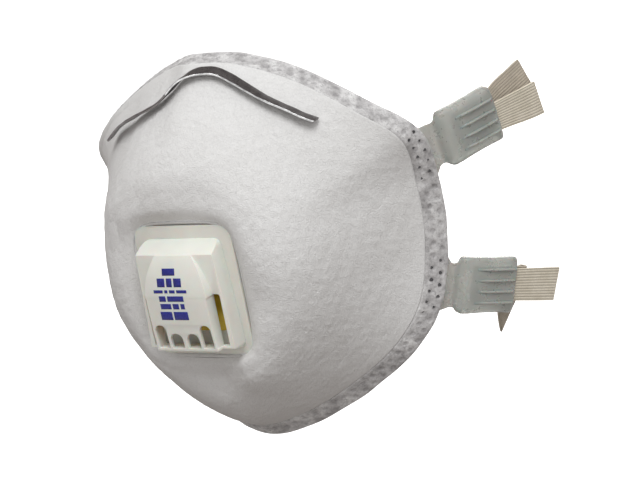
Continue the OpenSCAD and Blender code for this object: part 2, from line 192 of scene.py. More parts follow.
def cup(u, t):
    """The web's outer surface, from the seat plate's edge at t = 0 to the crease at t = 1.

    Each t line is a cubic through p and q, whose handles p1 and p2 vary gently with the direction.
    """
    u, t = np.broadcast_arrays(np.asarray(u, float), np.asarray(t, float))
    q = crease(u)
    a = valve_angle(u)
    radial = np.stack([np.cos(a), 0 * a, np.sin(a)], -1)
    p = valve_to_cup(col(seat_edge(a, SEAT_GRIP)) * radial)
    p1 = valve_to_cup(col(39 + 3.5 * np.sin(a) + 1.6 * np.cos(2 * a)) * radial)
    p1 = p1 + col(10 + np.sin(a) + 4.2 * np.cos(2 * a)) * FRONT
    depth = 10.5 - 2.6 * np.sin(a) - 14.2 * np.cos(2 * a) - 0.5 * np.sin(3 * a)
    reach = 47 + 4.5 * np.sin(a) - 1.7 * np.cos(2 * a) + 1.7 * np.sin(3 * a)
    p2 = np.array([0, 0, VALVE_AT[2]]) + col(depth) * FRONT + col(reach) * radial
    s = 1 - t
    return col(s**3) * p + col(3 * s * s * t) * p1 + col(3 * s * t * t) * p2 + col(t**3) * q


def cup_normal(u, t):
    """The direction out of the web's outer surface."""
    u, t = np.broadcast_arrays(np.asarray(u, float), np.asarray(t, float))
    low, high = np.maximum(0, t - 0.02), np.minimum(1, t + 0.02)
    return unit(np.cross(cup(u + 0.02, t) - cup(u - 0.02, t), cup(u, high) - cup(u, low)))


def pressed(t):
    """The share of its thickness that a layer keeps: it is pressed thinner towards the crease."""
    return 1 - 0.5 * smooth(0.8, 1, t)


def waves(p, size, seed, count=14):
    """Smooth, repeatable lumps between about -1 and 1, of the given size in mm."""
    r = np.random.default_rng(seed)
    total = np.zeros(p.shape[:-1])
    for _ in range(count):
        k = unit(r.normal(size=3)) * 2 * pi / size * r.uniform(0.6, 1.5)
        total += np.sin(p @ k + r.uniform(0, 2 * pi))
    return total / np.sqrt(count)


# ---------------------------------------------------------------- meshes
def make(name, points, faces, body=None, smooth_angle=None):
    """A mesh object from points in mm. It rides on the body, if one is named."""
    mesh = bpy.data.meshes.new(name)
    mesh.from_pydata((np.asarray(points, float).reshape(-1, 3) * MM).tolist(), [], faces)
    mesh.validate()
    mesh.polygons.foreach_set("use_smooth", [True] * len(mesh.polygons))
    obj = bpy.data.objects.new(name, mesh)
    bpy.context.scene.collection.objects.link(obj)
    if smooth_angle:
        mesh.set_sharp_from_angle(angle=radians(smooth_angle))
    if body:
        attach(obj, body)
    return obj


def grid_faces(rows, cols, wrap_rows=False, wrap_cols=True, start=0):
    """Quads between neighbouring rows, with the rows and the columns closed or open."""
    faces = []
    for i in range(rows if wrap_rows else rows - 1):
        a, b = start + i * cols, start + (i + 1) % rows * cols
        for j in range(cols if wrap_cols else cols - 1):
            k = (j + 1) % cols
            faces.append((a + j, a + k, b + k, b + j))
    return faces


def ring_solid(name, rows, body):
    """A closed skin from section lines that each run once round the rim."""
    rows = np.asarray(rows)
    return make(name, rows, grid_faces(len(rows), rows.shape[1], wrap_rows=True), body)


def loft(name, rows, body=None, smooth_angle=None):
    """A closed skin through ring-shaped sections, closed at both ends by a fan."""
    rows = np.asarray(rows)
    n, m = rows.shape[:2]
    points = np.vstack([rows.reshape(-1, 3), rows[0].mean(0), rows[-1].mean(0)])
    faces = grid_faces(n, m)
    faces += [(n * m, (j + 1) % m, j) for j in range(m)]
    faces += [(n * m + 1, (n - 1) * m + j, (n - 1) * m + (j + 1) % m) for j in range(m)]
    return make(name, points, faces, body, smooth_angle)


def superellipse(n, power):
    """Points of a unit superellipse, evenly spread, as (across, through)."""
    a = np.linspace(0, 2 * pi, n, endpoint=False)
    c, s = np.cos(a), np.sin(a)
    return np.sign(c) * abs(c) ** (2 / power), np.sign(s) * abs(s) ** (2 / power)


def slab_section(n, w, t, r):
    """A flat section of width w and thickness t with edges rounded by r, as (across, through)."""
    corner = np.linspace(0, pi / 2, 5)
    flat = np.linspace(-1, 1, n)[1:-1] * (w / 2 - r)
    across, through = [], []
    for turn, (cx, cy) in enumerate(((1, 1), (-1, 1), (-1, -1), (1, -1))):
        across += list(cx * (w / 2 - r) + r * np.cos(corner + turn * pi / 2))
        through += list(cy * (t / 2 - r) + r * np.sin(corner + turn * pi / 2))
        if turn in (0, 2):
            across += list(-flat if turn == 0 else flat)
            through += [cy * t / 2] * len(flat)
    return np.array(across), np.array(through)


def mark_points(obj, name, values):
    """Stores a number at each point of a mesh, for its material to read."""
    layer = obj.data.attributes.new(name, "FLOAT", "POINT")
    layer.data.foreach_set("value", values.astype(np.float32))


def outward(obj):
    """Turns all faces of a closed mesh the same way, outwards."""
    bm = bmesh.new()
    bm.from_mesh(obj.data)
    bmesh.ops.recalc_face_normals(bm, faces=bm.faces)
    bm.to_mesh(obj.data)
    bm.free()
    return obj


def moulded(name, node, body, width):
    """A CAD node's shape with its moulded edges rounded, standing for that node."""
    source = frame["nodes"][node]
    mesh = source.data.copy()
    mesh.name = name
    bm = bmesh.new()
    bm.from_mesh(mesh)
    bmesh.ops.remove_doubles(bm, verts=bm.verts, dist=1e-6)
    bmesh.ops.dissolve_limit(bm, angle_limit=radians(1), verts=bm.verts, edges=bm.edges)
    bm.to_mesh(mesh)
    bm.free()
    obj = bpy.data.objects.new(name, mesh)
    bpy.context.scene.collection.objects.link(obj)
    bevel = obj.modifiers.new("edges", "BEVEL")
    bevel.width = width * MM
    bevel.segments = 3
    bevel.limit_method = "ANGLE"
    bevel.angle_limit = radians(28)
    with bpy.context.temp_override(object=obj, active_object=obj, selected_objects=[obj]):
        bpy.ops.object.modifier_apply(modifier="edges")
    mesh = obj.data
    mesh.materials.clear()
    mesh.polygons.foreach_set("use_smooth", [True] * len(mesh.polygons))
    mesh.set_sharp_from_angle(angle=radians(35))
    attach(obj, body)
    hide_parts(node)
    return obj


# ---------------------------------------------------------------- materials
class Nodes:
    """A material's node tree with short calls for the few nodes used here."""

    def __init__(self, name, rough, **inputs):
        self.material = bpy.data.materials.new(name)
        self.material.use_nodes = True
        self.tree = self.material.node_tree
        self.shader = self.tree.nodes["Principled BSDF"]
        self.shader.inputs["Roughness"].default_value = rough
        for key, value in inputs.items():
            self.shader.inputs[key.replace("_", " ")].default_value = value
        self.place = self.node("ShaderNodeTexCoord").outputs["Object"]

    def node(self, kind, **settings):
        made = self.tree.nodes.new(kind)
        for key, value in settings.items():
            setattr(made, key, value)
        return made

    def link(self, a, b):
        self.tree.links.new(a, b)

    def feed(self, value, socket):
        """Joins an output to a socket, or sets the socket to a plain value."""
        if hasattr(value, "links"):
            self.link(value, socket)
        else:
            socket.default_value = value

    def stretched(self, scale):
        """The texture place with its three axes scaled."""
        mapping = self.node("ShaderNodeMapping")
        mapping.inputs["Scale"].default_value = scale
        self.link(self.place, mapping.inputs["Vector"])
        return mapping.outputs["Vector"]

    def noise(self, size, detail=4.0, rough=0.55, place=None, distortion=0.0):
        """Noise whose lumps are about size mm across."""
        made = self.node("ShaderNodeTexNoise")
        made.inputs["Scale"].default_value = 1 / (size * MM)
        made.inputs["Detail"].default_value = detail
        made.inputs["Roughness"].default_value = rough
        made.inputs["Distortion"].default_value = distortion
        self.link(place or self.place, made.inputs["Vector"])
        return made.outputs["Fac"]

    def ramp(self, value, *stops):
        """Colours along a value, from (place, colour) stops."""
        made = self.node("ShaderNodeValToRGB")
        elements = made.color_ramp.elements
        while len(elements) < len(stops):
            elements.new(0.5)
        for element, (at, colour) in zip(elements, stops):
            element.position = at
            element.color = (*colour, 1)
        self.link(value, made.inputs["Fac"])
        return made.outputs["Color"]

    def mix(self, factor, a, b, kind="MIX"):
        """Two colours mixed. A Mix node keeps its colour sockets at these numbers."""
        made = self.node("ShaderNodeMix", data_type="RGBA", blend_type=kind)
        for value, socket in zip((factor, a, b), (0, 6, 7)):
            self.feed(value, made.inputs[socket])
        return made.outputs[2]

    def math(self, kind, a, b):
        made = self.node("ShaderNodeMath", operation=kind)
        self.feed(a, made.inputs[0])
        self.feed(b, made.inputs[1])
        return made.outputs[0]

    def colour(self, value):
        self.link(value, self.shader.inputs["Base Color"])

    def roughness(self, value):
        self.link(value, self.shader.inputs["Roughness"])

    def bump(self, height, depth):
        """Bump of the given depth in mm."""
        made = self.node("ShaderNodeBump")
        made.inputs["Distance"].default_value = depth * MM
        made.inputs["Strength"].default_value = 1.0
        self.link(height, made.inputs["Height"])
        self.link(made.outputs["Normal"], self.shader.inputs["Normal"])


def grey(v):
    return (v, v, v)


def web_material():
    """White needled web: matt, with curls of fibre 1 to 2 mm long and fine fluff between."""
    m = Nodes("cover_web", 0.95, Sheen_Weight=0.2, Sheen_Roughness=0.6, Specular_IOR_Level=0.15)
    curls = m.noise(1.25, 3.0, 0.6, distortion=2.0)
    fibres = m.noise(0.5, 5.0, 0.7, distortion=1.6)
    cloud = m.noise(24, 2.0)
    base = m.ramp(cloud, (0.3, (0.755, 0.75, 0.74)), (0.7, (0.80, 0.797, 0.79)))
    shade = m.ramp(fibres, (0.25, grey(0.9)), (0.6, grey(1.0)))
    pits = m.ramp(curls, (0.3, grey(0.93)), (0.5, grey(1.0)))
    m.colour(m.mix(1.0, m.mix(1.0, base, shade, "MULTIPLY"), pits, "MULTIPLY"))
    m.bump(m.math("ADD", curls, m.math("MULTIPLY", fibres, 0.6)), 0.34)
    return m.material


def lining_material():
    """Smooth calendered lining that faces the wearer, with a fine even grain."""
    m = Nodes("lining", 0.85, Sheen_Weight=0.15, Specular_IOR_Level=0.25)
    fibres = m.noise(0.45, 4.0, 0.65, distortion=0.8)
    cloud = m.noise(16, 2.0)
    m.colour(m.mix(1.0, m.ramp(cloud, (0.3, (0.74, 0.74, 0.72)), (0.7, (0.82, 0.82, 0.81))),
                   m.ramp(fibres, (0.3, grey(0.9)), (0.65, grey(1.0))), "MULTIPLY"))
    m.bump(fibres, 0.12)
    return m.material


def rim_material():
    """All layers welded flat: white melted web with the charcoal showing as grey specks."""
    m = Nodes("rim_web", 0.8, Sheen_Weight=0.1, Specular_IOR_Level=0.3)
    specks = m.noise(0.9, 6.0, 0.75, distortion=0.6)
    patches = m.noise(4.5, 3.0, 0.6)
    base = m.ramp(patches, (0.34, (0.40, 0.39, 0.39)), (0.5, (0.57, 0.56, 0.56)),
                  (0.66, (0.73, 0.725, 0.72)))
    dark = m.ramp(specks, (0.36, grey(0.55)), (0.46, grey(0.86)), (0.6, grey(1.0)))
    dot = m.node("ShaderNodeAttribute", attribute_name="dot").outputs["Fac"]
    m.colour(m.mix(dot, m.mix(1.0, base, dark, "MULTIPLY"), (0.20, 0.19, 0.195, 1)))
    m.bump(m.math("ADD", specks, patches), 0.16)
    return m.material


def metal_material():
    """Aluminium strip, drawn lengthwise and scuffed. Its near-black tone is painted shade: the dark
    reflection of the strip's face put into its colour, while the light scuffs are real.
    """
    m = Nodes("clip_metal", 0.35, Metallic=1.0)
    drawn = m.noise(1.2, 4.0, 0.6, place=m.stretched((0.25, 1.0, 3.0)))
    scuffs = m.noise(3.0, 5.0, 0.7)
    # Painted shade: the near-black stops stand in for the face's dark reflection; the grey 0.5 stop is the
    # scuffs.
    m.colour(m.ramp(scuffs, (0.35, (0.085, 0.075, 0.076)), (0.64, (0.15, 0.138, 0.136)),
                    (0.74, grey(0.5))))
    m.roughness(m.ramp(drawn, (0.3, grey(0.22)), (0.7, grey(0.42))))
    m.bump(m.math("ADD", drawn, scuffs), 0.05)
    return m.material


def clip_highlight_material():
    """Painted highlight: the strip's lower edge, given a bright metal colour where light catches it."""
    m = Nodes("clip_painted_highlight", 0.3, Metallic=1.0)
    m.colour(m.ramp(m.noise(1.5, 4.0), (0.3, grey(0.36)), (0.7, grey(0.66))))
    m.bump(m.noise(0.6, 3.0), 0.03)
    return m.material


def foam_material():
    """Grey closed-cell foam with open pores on its cut face."""
    m = Nodes("foam", 0.95, Specular_IOR_Level=0.15)
    cells = m.node("ShaderNodeTexVoronoi")
    cells.inputs["Scale"].default_value = 1 / (0.9 * MM)
    m.link(m.place, cells.inputs["Vector"])
    m.colour(m.ramp(cells.outputs["Distance"], (0.1, grey(0.10)), (0.5, grey(0.22)), (0.9, grey(0.28))))
    m.bump(cells.outputs["Distance"], 0.3)
    return m.material


def plastic_material(name, tone, rough=0.42):
    """Injection-moulded plastic with a faint orange peel and uneven tone."""
    m = Nodes(name, rough, Specular_IOR_Level=0.4, Subsurface_Weight=0.3, Subsurface_Scale=0.003)
    cloud = m.noise(9, 2.0)
    darker = tuple(c * 0.94 for c in tone)
    m.colour(m.ramp(cloud, (0.3, darker), (0.7, tone)))
    m.roughness(m.ramp(m.noise(2.0, 4.0), (0.3, grey(rough - 0.06)), (0.7, grey(rough + 0.1))))
    m.bump(m.noise(0.7, 3.0), 0.015)
    return m.material


def rubber_material():
    """Ochre diaphragm rubber."""
    m = Nodes("diaphragm", 0.4, Specular_IOR_Level=0.45)
    m.colour(m.ramp(m.noise(5, 3.0), (0.3, (0.62, 0.43, 0.02)), (0.7, (0.74, 0.54, 0.05))))
    m.bump(m.noise(0.5, 3.0), 0.02)
    return m.material


def buckle_material():
    """Grey-green soft rubber that light passes through, frosted by its mould."""
    m = Nodes("soft_buckle", 0.3, Specular_IOR_Level=0.5, Transmission_Weight=0.3, IOR=1.36,
              Subsurface_Weight=0.25, Subsurface_Scale=0.003)
    cloud = m.noise(7, 2.0, 0.5)
    m.colour(m.ramp(cloud, (0.25, (0.40, 0.415, 0.385)), (0.75, (0.49, 0.50, 0.465))))
    m.roughness(m.ramp(m.noise(3.0, 3.0, 0.6), (0.3, grey(0.24)), (0.7, grey(0.36))))
    return m.material


def webbing_material(name, tone, shade):
    """Knitted elastic: cream yarn with darker gaps and fine stitches, and painted shade darkening the
    furrows between its cords.
    """
    m = Nodes(name, 0.9, Sheen_Weight=0.2, Specular_IOR_Level=0.2)
    yarn = m.noise(0.35, 4.0, 0.7, distortion=0.5)
    cloud = m.noise(4, 3.0)
    base = m.ramp(cloud, (0.3, shade), (0.7, tone))
    knit = m.mix(1.0, base, m.ramp(yarn, (0.3, grey(0.78)), (0.65, grey(1.0))), "MULTIPLY")
    painted_furrow_shade = m.node("ShaderNodeAttribute", attribute_name="painted_furrow_shade").outputs["Fac"]
    # Painted shade: the furrows between the cords are darkened to 0.42 of the darker tone.
    m.colour(m.mix(painted_furrow_shade, knit, (*(0.42 * c for c in shade), 1)))
    m.bump(yarn, 0.14)
    return m.material


def pin_material():
    """Plastic melted dark and glossy at the welds."""
    m = Nodes("weld_pin", 0.35, Specular_IOR_Level=0.5)
    m.colour(m.ramp(m.noise(0.8, 3.0), (0.3, (0.012, 0.011, 0.012)), (0.75, (0.07, 0.065, 0.07))))
    m.bump(m.noise(0.5, 3.0), 0.1)
    return m.material


def print_material():
    """Blue ink, a little uneven."""
    m = Nodes("blue_print", 0.55, Specular_IOR_Level=0.3)
    m.colour(m.ramp(m.noise(0.6, 4.0), (0.3, (0.012, 0.014, 0.16)), (0.7, (0.03, 0.035, 0.26))))
    return m.material


def media_material(name, tone):
    """Filter felt between the web and the lining."""
    m = Nodes(name, 0.95, Specular_IOR_Level=0.1)
    fibres = m.noise(0.6, 5.0, 0.7, distortion=1.0)
    m.colour(m.ramp(fibres, (0.3, tuple(c * 0.8 for c in tone)), (0.7, tone)))
    m.bump(fibres, 0.2)
    return m.material


MATERIALS = {
    "cover_web": web_material(),
    "lining": lining_material(),
    "rim_web": rim_material(),
    "clip_metal": metal_material(),
    "clip_painted_highlight": clip_highlight_material(),
    "foam": foam_material(),
    "valve_plastic": plastic_material("valve_plastic", (0.80, 0.79, 0.73)),
    # The seat plate's plastic is the cover's ivory darkened a little: painted shade, as the plate lies sunk
    # under the web's lip.
    "seat_plastic_painted_shade": plastic_material("seat_plastic_painted_shade", (0.75, 0.73, 0.67), 0.5),
    "diaphragm": rubber_material(),
    "soft_buckle": buckle_material(),
    "webbing": webbing_material("webbing", (0.80, 0.74, 0.62), (0.68, 0.62, 0.50)),
    # The rear ends' webbing is the same elastic in darker tones: painted shade, as they lie behind the
    # buckles, away from the light.
    "webbing_painted_shade": webbing_material("webbing_painted_shade", (0.64, 0.57, 0.47), (0.50, 0.44, 0.36)),
    "weld_pin": pin_material(),
    "blue_print": print_material(),
    "filter_media": media_material("filter_media", (0.85, 0.85, 0.84)),
    "carbon_media": media_material("carbon_media", (0.07, 0.07, 0.07)),
}


def dress(obj, material):
    """Gives a piece its material, in a single slot."""
    obj.data.materials.clear()
    obj.data.materials.append(MATERIALS[material])
    return obj


# ---------------------------------------------------------------- camera and stage
def camera_axes(azimuth, elevation, roll):
    """The camera's right, up and back directions, for angles in degrees."""
    a, e, r = (radians(x) for x in (azimuth, elevation, roll))
    back = Vector((sin(a) * cos(e), -cos(a) * cos(e), sin(e)))
    level = Vector((cos(a), sin(a), 0))
    rise = back.cross(level)
    return level * cos(r) - rise * sin(r), level * sin(r) + rise * cos(r), back


def make_camera():
    """The photograph's view: from the right and a little above, with the mask tipped sideways."""
    right, up, back = camera_axes(34, 13.5, 10)
    distance, aside, above = 0.650, 0.0274, 0.0028
    data = bpy.data.cameras.new("camera")
    data.sensor_width = 36.0
    data.lens = 108.7734375
    data.clip_start = 0.01
    camera = bpy.data.objects.new("camera", data)
    bpy.context.scene.collection.objects.link(camera)
    at = right * aside + up * above + back * distance
    camera.matrix_world = Matrix.Translation(at) @ Matrix((right, up, back)).transposed().to_4x4()
    bpy.context.scene.camera = camera


KEY = Vector((0.36, -0.40, 0.84))       # towards the key light, one metre off


def area_light(name, at, size, power, colour=(1, 1, 1)):
    """A round light at a place in metres, turned towards the origin."""
    data = bpy.data.lights.new(name, "AREA")
    data.shape = "DISK"
    data.size = size
    data.energy = power
    data.color = colour
    light = bpy.data.objects.new(name, data)
    light.location = at
    light.rotation_euler = (-Vector(at)).to_track_quat("-Z", "Y").to_euler()
    bpy.context.scene.collection.objects.link(light)


def make_stage():
    """White paper well below the mask, under a bright sky that is darker below the horizon."""
    low, half = cad_box[0][2] / MM - 60, 6000
    corners = [(-half, -half, low), (half, -half, low), (half, half, low), (-half, half, low)]
    floor = make("floor", corners, [(0, 1, 2, 3)])
    m = Nodes("paper", 0.9, Specular_IOR_Level=0.0, Emission_Color=(1, 1, 1, 1), Emission_Strength=0.5)
    m.colour(m.ramp(m.noise(40, 2.0), (0.3, grey(0.92)), (0.7, grey(0.95))))
    floor.data.materials.append(m.material)
    floor.visible_diffuse = False
    make_sky()
    bpy.context.scene.view_settings.view_transform = "Standard"
    area_light("key_light", tuple(KEY), 0.55, 5.2)
    area_light("back_fill", (-0.35, 0.95, 0.30), 0.7, 5.0, (1.0, 0.985, 0.96))


def make_sky():
    """A soft box all round, brightest towards the key light; the eye sees plain white behind."""
    world = bpy.data.worlds.new("studio")
    world.use_nodes = True
    tree = world.node_tree
    made = {kind: tree.nodes.new("ShaderNode" + kind)
            for kind in ("TexCoord", "VectorMath", "MapRange", "ValToRGB", "LightPath", "Mix")}
    made["VectorMath"].operation = "DOT_PRODUCT"
    made["VectorMath"].inputs[1].default_value = KEY
    made["MapRange"].inputs["From Min"].default_value = -1
    elements = made["ValToRGB"].color_ramp.elements
    elements.new(0.25)
    for element, at, colour in zip(elements, (0.0, 0.25, 1.0), (
            (0.055, 0.038, 0.028), (0.20, 0.16, 0.135), (0.84, 0.845, 0.85))):
        element.position = at
        element.color = (*colour, 1)
    made["Mix"].data_type = "RGBA"
    made["Mix"].inputs[7].default_value = (0.98, 0.98, 0.98, 1)
    for source, socket in (
            (made["TexCoord"].outputs["Generated"], made["VectorMath"].inputs[0]),
            (made["VectorMath"].outputs["Value"], made["MapRange"].inputs["Value"]),
            (made["MapRange"].outputs["Result"], made["ValToRGB"].inputs["Fac"]),
            (made["LightPath"].outputs["Is Camera Ray"], made["Mix"].inputs[0]),
            (made["ValToRGB"].outputs["Color"], made["Mix"].inputs[6]),
            (made["Mix"].outputs[2], tree.nodes["Background"].inputs["Color"])):
        tree.links.new(source, socket)
    tree.nodes["Background"].inputs["Strength"].default_value = 1.0
    bpy.context.scene.world = world


# ---------------------------------------------------------------- cup
# The web's soft hollows and swellings, as (x, z, size, height).
RELIEF = ((-27, 12, 7, -1.6), (26, -9, 8, -1.3), (17, -34, 8, 1.7), (4, -39, 7, -1.0),
          (-6, 27, 11, 1.9), (34, 22, 14, -0.7), (-34, -14, 10, 0.9), (-46, 42, 17, -2.4))


def relief(p, t):
    """How far the web stands out at p: its hollows and swellings, and the lip round the seat."""
    soft = np.zeros(p.shape[:-1])
    for x, z, size, height in RELIEF:
        soft += height * np.exp(-((p[..., 0] - x) ** 2 + (p[..., 2] - z) ** 2) / size**2)
    return LIP * smooth(0.22, 0.03, t) + soft * smooth(0.0, 0.1, t) * smooth(1.0, 0.9, t)


def layer_rows(depth, samples, rings, lumps=0.0):
    """Rows of points at a depth below the web's surface, from the hole's edge to the crease."""
    u = np.arange(samples) * RIM_N / samples
    a = valve_angle(u)
    radial = np.stack([np.cos(a), 0 * a, np.sin(a)], -1)
    back = valve_to_cup([0, 1, 0]) - VALVE_AT
    rows = [valve_to_cup(r * radial) + depth * back for r in (HOLE_R, HOLE_R + 3)]
    for grip, rise in ((0.2, 0.0), (0.35, 0.35), (0.6, 0.65), (1.0, 0.87), (1.5, 0.97)):
        swell = LIP * rise if lumps else 0
        rows.append(valve_to_cup(col(seat_edge(a, grip)) * radial) + (depth - swell) * back)
    for t in np.linspace(0, 1, rings) ** 0.9:
        p, n = cup(u, t), cup_normal(u, t)
        if lumps:
            fade = float(smooth(0.0, 0.12, t) * smooth(1.0, 0.93, t))
            height = lumps * fade * (waves(p, 3.0, 3, 24) + 0.8 * waves(p, 8.0, 5))
            p = p + n * col(height + relief(p, t))
        rows.append(p - depth * pressed(t) * n)
    return rows


def make_cup():
    """The outer web and the lining as seen surfaces; the felts between keep their CAD shape."""
    samples, rings = 616, 110
    outer = layer_rows(0.0, samples, rings, lumps=0.055)
    inner = layer_rows(WEB_T, samples, rings)
    web = outward(ring_solid("outer_web", outer + inner[::-1], "mask"))
    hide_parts("outer_cover_web")
    dress(web, "cover_web")
    samples, rings = 440, 60
    near, far = (layer_rows(depth, samples, rings) for depth in LINING)
    lining = outward(ring_solid("inner_lining", near + far[::-1], "mask"))
    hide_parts("inner_shell")
    dress(lining, "lining")
    dress(frame["nodes"]["filter_layer"], "filter_media")
    dress(frame["nodes"]["carbon_layer"], "carbon_media")


DOT_ROWS = (2.3, 5.3)                   # the two rows of pressed dots, from the rim's edge
DOTS_ROUND = 104                        # how many dots a row has
DOT_DEPTH, DOT_TONE = 0.2, 0.36


def make_rim():
    """Welded band with two staggered rows of pressed dots and a soft, uneven edge."""
    samples = RIM_N * 72
    u = np.arange(samples) * RIM_N / samples
    line = rim(u)
    step = np.linalg.norm(np.roll(line, -1, 0) - line, axis=1)
    along = np.cumsum(step) - step
    pitch = step.sum() / DOTS_ROUND
    d, n = flange_dir(u), flange_normal(u)
    edge_wave = 0.18 * waves(line, 14, 8)
    rows, marks = [], []
    edge_r, inner = 0.45, RIM_W + 0.05

    def row(s, h, mark=0.0):
        s = s + edge_wave * smooth(2.5, 0.0, s)
        rows.append(line + col(s) * d + col(h) * n)
        marks.append(mark + np.zeros(samples))

    for a in np.linspace(-pi / 2, pi / 2, 7)[:-1]:
        row(edge_r - edge_r * cos(a), -RIM_T / 2 + (RIM_T / 2) * sin(a))
    for s in np.linspace(edge_r, inner, 34):
        h = 0.08 * waves(line + s * d, 3.2, 21)
        mark = np.zeros(samples)
        for k, at in enumerate(DOT_ROWS):
            phase = ((along / pitch + k / 2) % 1 - 0.5) * pitch
            gap = np.hypot(phase, s - at)
            h = h - DOT_DEPTH * smooth(1.15, 0.6, gap)
            patchy = smooth(-1.6, 0.4, waves(line, 11, 60 + k))
            mark = mark + DOT_TONE * smooth(1.05, 0.65, gap) * patchy
        h = (h + 0.15 * smooth(edge_r, 1.2, s)) * smooth(0.3, 0.9, s) * smooth(inner, inner - 0.6, s)
        row(s, h - 0.06 * smooth(inner - 0.4, inner, s), mark)
    row(inner, -RIM_T / 2)
    for s in (inner, 6.0, 4.0, 2.0, 0.8):
        row(s, -RIM_T)
    band = outward(ring_solid("welded_band", rows, "mask"))
    mark_points(band, "dot", np.array(marks).ravel())
    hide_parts("welded_rim")
    dress(band, "rim_web")


# ---------------------------------------------------------------- nose clip and foam
def clip_t(u):
    """Where the strip lies between the valve and the crease: highest a little right of the nose."""
    d = abs(u - 0.35)
    return (0.945 - 0.095 * smooth(0.2, 1.8, d) + 0.04 * smooth(2.1, 2.9, d)
            - 0.075 * smooth(0.4, -0.5, u))


def clip_tilt(u):
    """How far the strip is twisted, in radians, so that its lower edge stands off the web."""
    left = 16 * np.exp(-((u + 0.9) / 0.55) ** 2) + 12 * smooth(-1.8, -2.6, u)
    right = 17 * smooth(1, 2.5, u) - 14 * smooth(-0.1, 0.4, u)
    return np.radians(42 - left + right)


def make_clip():
    """Aluminium strip bent by hand over the nose, with rounded edges and small dents."""
    steps, reach, edge_r = 150, 2.75, 0.16
    u = np.linspace(-reach, reach, steps)
    t = clip_t(u)
    n, up, a = cup_normal(u, t), unit(cup(u, t + 0.02) - cup(u, t - 0.02)), clip_tilt(u)
    across = col(np.cos(a)) * up - col(np.sin(a)) * n
    face = col(np.cos(a)) * n + col(np.sin(a)) * up
    centre = cup(u, t) + col(CLIP_AIR + CLIP_W / 2 * np.sin(a)) * n
    w, h = slab_section(14, CLIP_W, CLIP_T, edge_r)
    tip = np.minimum(1, np.sqrt(np.maximum(0, (reach - abs(u)) / 0.03)) * 0.15 + 0.85)
    crown = 0.08 * (1 - (2 * w / CLIP_W) ** 2)
    rows = []
    for i in range(steps):
        dent = 0.05 * waves(centre[i] + np.outer(w, across[i]), 5, 31)
        lift = CLIP_T / 2 + h + (dent + crown) * (h > 0)
        rows.append(centre[i] + np.outer(w * tip[i], across[i]) + np.outer(lift, face[i]))
    clip = outward(loft("nose_clip_strip", rows, "mask", 50))
    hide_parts("nose_clip")
    dress(clip, "clip_metal")
    clip.data.materials.append(MATERIALS["clip_painted_highlight"])
    # The faces along the strip's lower edge get the painted highlight material.
    highlit_edge = ((w < 0.12 - CLIP_W / 2) & (col(u) > -0.45)).ravel()
    for polygon in clip.data.polygons:
        if all(v < len(highlit_edge) and highlit_edge[v] for v in polygon.vertices):
            polygon.material_index = 1


def make_foam():
    """Soft strip of foam under the nose: crowned, with its edges drawn in."""
    steps, reach, height = 90, 2.3, 3.5
    u = np.linspace(-reach, reach, steps)
    c, s = superellipse(28, 3.2)
    rows = []
    for x in u:
        end = np.clip((reach - abs(x)) / 0.16, 0, 1)
        full = 0.35 + 0.65 * sqrt(1 - (1 - end) ** 2)
        t = 0.875 + c * 0.075 * (0.75 + 0.25 * full)
        depth = LINING[1] * pressed(t) + 0.4 + height / 2 + s * height / 2 * full
        p = cup(x, t) - col(depth) * cup_normal(x, np.full_like(t, 0.875))
        rows.append(p + 0.12 * col(waves(p, 5, 41)) * cup_normal(x, t))
    foam = outward(loft("nose_foam_strip", rows, "mask"))
    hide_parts("nose_foam")
    dress(foam, "foam")


# ---------------------------------------------------------------- valve
def make_valve():
    """Seat, cover and inner ring in moulded plastic, with the flap between and the printed bars."""
    for name, node, edge_r, material in (
            ("seat_plate", "valve_seat", 0.45, "seat_plastic_painted_shade"),
            ("valve_housing", "valve_cover", 0.42, "valve_plastic"),
            ("clamping_ring", "valve_inner_ring", 0.3, "valve_plastic")):
        dress(moulded(name, node, "mask", edge_r), material)
    dress(frame["nodes"]["flap_clamp_bar"], "valve_plastic")
    make_flap()
    make_print()


def make_flap():
    """One rubber sheet lying flat on the seat, in place of both the flap's clamped root and the flap."""
    low, high, half, radius = -13.4, 15.3, 12.5, 2.5
    rounded = low + radius * (1 - np.cos(np.linspace(0, pi / 2, 8)))
    heights = np.unique(np.round(np.concatenate([rounded, np.linspace(low + radius, high, 46)]), 4))
    w, h = slab_section(20, 1.0, FLAP_T, 0.15)
    curl = 0.02 * np.cos(w * pi)
    rows = []
    for z in heights:
        cut = max(0.0, radius - (z - low))
        width = half - radius + sqrt(radius**2 - cut**2)
        rows.append(valve_to_cup(np.stack([2 * w * width, FLAP_Y - h + curl, np.full_like(w, z)], -1)))
    flap = outward(loft("diaphragm", rows))
    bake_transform(flap)
    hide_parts("flap_root", "valve_flap")
    dress(flap, "diaphragm")


def shield_height(z):
    """How far the domed shield of the valve stands out from the web."""
    k = (z + 2) / 16.3
    return 8 + 3.5 * (1 - 0.9 * max(0, k) ** 2.2 - 0.25 * max(0, -k) ** 2.2)


def printed_bar(x0, width, z0, height, points, faces):
    """Adds one thin bar of ink that follows the shield's curve."""
    cells = max(2, int(width / 0.8))
    start, n = len(points), cells * 4
    for lift in (-0.01, 0.04):
        for z in np.linspace(z0 + height / 2, z0 - height / 2, 4):
            for x in np.linspace(x0, x0 + width, cells):
                points.append(valve_to_cup([x, -(shield_height(z) + lift), z]))
    top = grid_faces(4, cells, wrap_cols=False, start=start + n)
    faces += top + [tuple(v - n for v in reversed(f)) for f in top]
    edge = list(range(cells)) + [cells * k + cells - 1 for k in (1, 2, 3)]
    edge += [3 * cells + k for k in range(cells - 2, -1, -1)] + [cells * k for k in (2, 1)]
    faces += [(start + a, start + b, start + b + n, start + a + n)
              for a, b in zip(edge, edge[1:] + edge[:1])]


